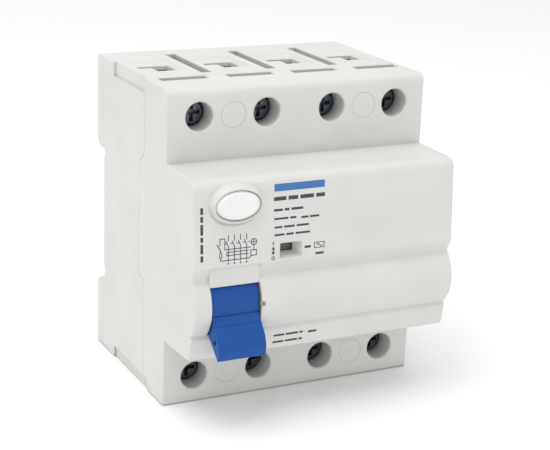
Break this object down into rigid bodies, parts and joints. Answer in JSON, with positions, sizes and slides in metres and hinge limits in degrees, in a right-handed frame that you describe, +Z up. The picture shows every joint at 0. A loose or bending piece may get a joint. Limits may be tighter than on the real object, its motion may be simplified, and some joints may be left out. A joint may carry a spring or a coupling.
{
  "type": "residual current device",
  "caption": "Rail-mounted residual current device with a toggle handle, oval test button, indicator window, screw terminals and sliding rail clips.",
  "frame": {"origin": "middle of the footprint of the lower end, at the height of the lower end face", "axes": "+Z up with the load terminals at the bottom, +X right as seen from the front, +Y back towards the mounting rail; the handle and the terminal screws face -Y"},
  "size_m": [0.072, 0.072, 0.082],
  "materials": {
    "grey_housing": "satin, fine spark-eroded texture",
    "blue_handle": "satin gloss",
    "white_button": "gloss",
    "dark_moulding": "matt",
    "indicator": "matt",
    "rail_clip": "matt",
    "steel": "zinc plated",
    "zinc": "zinc plated, bright",
    "copper": "bare copper",
    "core": "epoxy coated",
    "winding": "enamelled copper wire",
    "resistor": "ceramic, lacquered"
  },
  "bodies": {
    "casing": {"rear_base": "grey_housing", "front_cover": "grey_housing", "carrier_shaft": "steel", "handle_axle": "steel", "handle_spring": "steel", "mechanism_frame": "steel", "toroid_core": "core", "toroid_winding": "winding", "relay_case": "dark_moulding", "test_resistor": "resistor", "line_cover_screw_1": "steel", "line_cover_screw_2": "steel", "load_cover_screw_1": "steel", "load_cover_screw_2": "steel", "line_screw_plug_1": "grey_housing", "line_screw_plug_2": "grey_housing", "load_screw_plug_1": "grey_housing", "load_screw_plug_2": "grey_housing", "line_strap_1": "copper", "line_strap_2": "copper", "line_strap_3": "copper", "line_strap_4": "copper", "load_conductor_1": "copper", "load_conductor_2": "copper", "load_conductor_3": "copper", "load_conductor_4": "copper"},
    "handle": {"handle": "blue_handle"},
    "handle_link": {"handle_link": "steel"},
    "contact_carrier": {"contact_carrier": "dark_moulding", "contact_arm_1": "copper", "contact_arm_2": "copper", "contact_arm_3": "copper", "contact_arm_4": "copper", "indicator_flag": "indicator"},
    "test_button": {"test_button": "white_button"},
    "test_spring": {"test_spring": "copper"},
    "relay_plunger": {"relay_plunger": "steel"},
    "trip_lever": {"trip_lever": "white_button"},
    "rail_clip_1": {"rail_clip_1": "rail_clip"},
    "rail_clip_2": {"rail_clip_2": "rail_clip"},
    "line_terminal_screw_1": {"line_terminal_screw_1": "steel"},
    "line_cage_1": {"line_cage_1": "zinc"},
    "line_terminal_screw_2": {"line_terminal_screw_2": "steel"},
    "line_cage_2": {"line_cage_2": "zinc"},
    "line_terminal_screw_3": {"line_terminal_screw_3": "steel"},
    "line_cage_3": {"line_cage_3": "zinc"},
    "line_terminal_screw_4": {"line_terminal_screw_4": "steel"},
    "line_cage_4": {"line_cage_4": "zinc"},
    "load_terminal_screw_1": {"load_terminal_screw_1": "steel"},
    "load_cage_1": {"load_cage_1": "zinc"},
    "load_terminal_screw_2": {"load_terminal_screw_2": "steel"},
    "load_cage_2": {"load_cage_2": "zinc"},
    "load_terminal_screw_3": {"load_terminal_screw_3": "steel"},
    "load_cage_3": {"load_cage_3": "zinc"},
    "load_terminal_screw_4": {"load_terminal_screw_4": "steel"},
    "load_cage_4": {"load_cage_4": "zinc"}
  },
  "joints": [
    {"name": "handle_turn", "type": "hinge", "parent": "casing", "child": "handle", "pos_m": [0, -0.0224, 0.0318], "axis": [-1, 0, 0], "range_deg": [0, 48]},
    {"name": "carrier_turn", "type": "hinge", "parent": "casing", "child": "contact_carrier", "pos_m": [0, 0.002, 0.04], "axis": [-1, 0, 0], "range_deg": [0, 16.4]},
    {"name": "link_turn", "type": "hinge", "parent": "handle", "child": "handle_link", "pos_m": [0, -0.02411, 0.03564], "axis": [-1, 0, 0], "range_deg": [-48.82, 0]},
    {"name": "button_press", "type": "slide", "parent": "casing", "child": "test_button", "axis": [0, 1, 0], "range_m": [0, 0.002], "stiffness_N_per_m": 800},
    {"name": "test_spring_bend", "type": "hinge", "parent": "casing", "child": "test_spring", "pos_m": [-0.0135, -0.0192, 0.0575], "axis": [0, 0, -1], "range_deg": [0, 9.9]},
    {"name": "plunger_lift", "type": "slide", "parent": "casing", "child": "relay_plunger", "axis": [0, 0, 1], "range_m": [0, 0.0012], "stiffness_N_per_m": 300},
    {"name": "trip_lever_turn", "type": "hinge", "parent": "casing", "child": "trip_lever", "pos_m": [0, -0.01, 0.049], "axis": [-1, 0, 0], "range_deg": [0, 10.4]},
    {"name": "rail_clip_1_slide", "type": "slide", "parent": "casing", "child": "rail_clip_1", "axis": [0, 0, -1], "range_m": [0, 0.004], "stiffness_N_per_m": 500},
    {"name": "rail_clip_2_slide", "type": "slide", "parent": "casing", "child": "rail_clip_2", "axis": [0, 0, -1], "range_m": [0, 0.004], "stiffness_N_per_m": 500},
    {"name": "line_cage_1_slide", "type": "slide", "parent": "casing", "child": "line_cage_1", "axis": [0, -1, 0], "range_m": [0, 0.0062]},
    {"name": "line_terminal_screw_1_turn", "type": "hinge", "parent": "casing", "child": "line_terminal_screw_1", "pos_m": [-0.0273, -0.005, 0.0748], "axis": [0, 1, 0], "range_deg": [0, 2792]},
    {"name": "line_cage_2_slide", "type": "slide", "parent": "casing", "child": "line_cage_2", "axis": [0, -1, 0], "range_m": [0, 0.0062]},
    {"name": "line_terminal_screw_2_turn", "type": "hinge", "parent": "casing", "child": "line_terminal_screw_2", "pos_m": [-0.0091, -0.005, 0.0748], "axis": [0, 1, 0], "range_deg": [0, 2792]},
    {"name": "line_cage_3_slide", "type": "slide", "parent": "casing", "child": "line_cage_3", "axis": [0, -1, 0], "range_m": [0, 0.0062]},
    {"name": "line_terminal_screw_3_turn", "type": "hinge", "parent": "casing", "child": "line_terminal_screw_3", "pos_m": [0.0091, -0.005, 0.0748], "axis": [0, 1, 0], "range_deg": [0, 2792]},
    {"name": "line_cage_4_slide", "type": "slide", "parent": "casing", "child": "line_cage_4", "axis": [0, -1, 0], "range_m": [0, 0.0062]},
    {"name": "line_terminal_screw_4_turn", "type": "hinge", "parent": "casing", "child": "line_terminal_screw_4", "pos_m": [0.0273, -0.005, 0.0748], "axis": [0, 1, 0], "range_deg": [0, 2792]},
    {"name": "load_cage_1_slide", "type": "slide", "parent": "casing", "child": "load_cage_1", "axis": [0, -1, 0], "range_m": [0, 0.0062]},
    {"name": "load_terminal_screw_1_turn", "type": "hinge", "parent": "casing", "child": "load_terminal_screw_1", "pos_m": [-0.0273, -0.005, 0.0072], "axis": [0, 1, 0], "range_deg": [0, 2792]},
    {"name": "load_cage_2_slide", "type": "slide", "parent": "casing", "child": "load_cage_2", "axis": [0, -1, 0], "range_m": [0, 0.0062]},
    {"name": "load_terminal_screw_2_turn", "type": "hinge", "parent": "casing", "child": "load_terminal_screw_2", "pos_m": [-0.0091, -0.005, 0.0072], "axis": [0, 1, 0], "range_deg": [0, 2792]},
    {"name": "load_cage_3_slide", "type": "slide", "parent": "casing", "child": "load_cage_3", "axis": [0, -1, 0], "range_m": [0, 0.0062]},
    {"name": "load_terminal_screw_3_turn", "type": "hinge", "parent": "casing", "child": "load_terminal_screw_3", "pos_m": [0.0091, -0.005, 0.0072], "axis": [0, 1, 0], "range_deg": [0, 2792]},
    {"name": "load_cage_4_slide", "type": "slide", "parent": "casing", "child": "load_cage_4", "axis": [0, -1, 0], "range_m": [0, 0.0062]},
    {"name": "load_terminal_screw_4_turn", "type": "hinge", "parent": "casing", "child": "load_terminal_screw_4", "pos_m": [0.0273, -0.005, 0.0072], "axis": [0, 1, 0], "range_deg": [0, 2792]}
  ],
  "couplings": [
    {"joint": "carrier_turn", "follows": "handle_turn", "ratio": 0.33958},
    {"joint": "link_turn", "follows": "handle_turn", "ratio": -1.015},
    {"joint": "test_spring_bend", "follows": "button_press", "rad_per_m": 85},
    {"joint": "trip_lever_turn", "follows": "plunger_lift", "rad_per_m": 150},
    {"joint": "line_terminal_screw_1_turn", "follows": "line_cage_1_slide", "rad_per_m": 7854},
    {"joint": "line_terminal_screw_2_turn", "follows": "line_cage_2_slide", "rad_per_m": 7854},
    {"joint": "line_terminal_screw_3_turn", "follows": "line_cage_3_slide", "rad_per_m": 7854},
    {"joint": "line_terminal_screw_4_turn", "follows": "line_cage_4_slide", "rad_per_m": 7854},
    {"joint": "load_terminal_screw_1_turn", "follows": "load_cage_1_slide", "rad_per_m": 7854},
    {"joint": "load_terminal_screw_2_turn", "follows": "load_cage_2_slide", "rad_per_m": 7854},
    {"joint": "load_terminal_screw_3_turn", "follows": "load_cage_3_slide", "rad_per_m": 7854},
    {"joint": "load_terminal_screw_4_turn", "follows": "load_cage_4_slide", "rad_per_m": 7854}
  ]
}
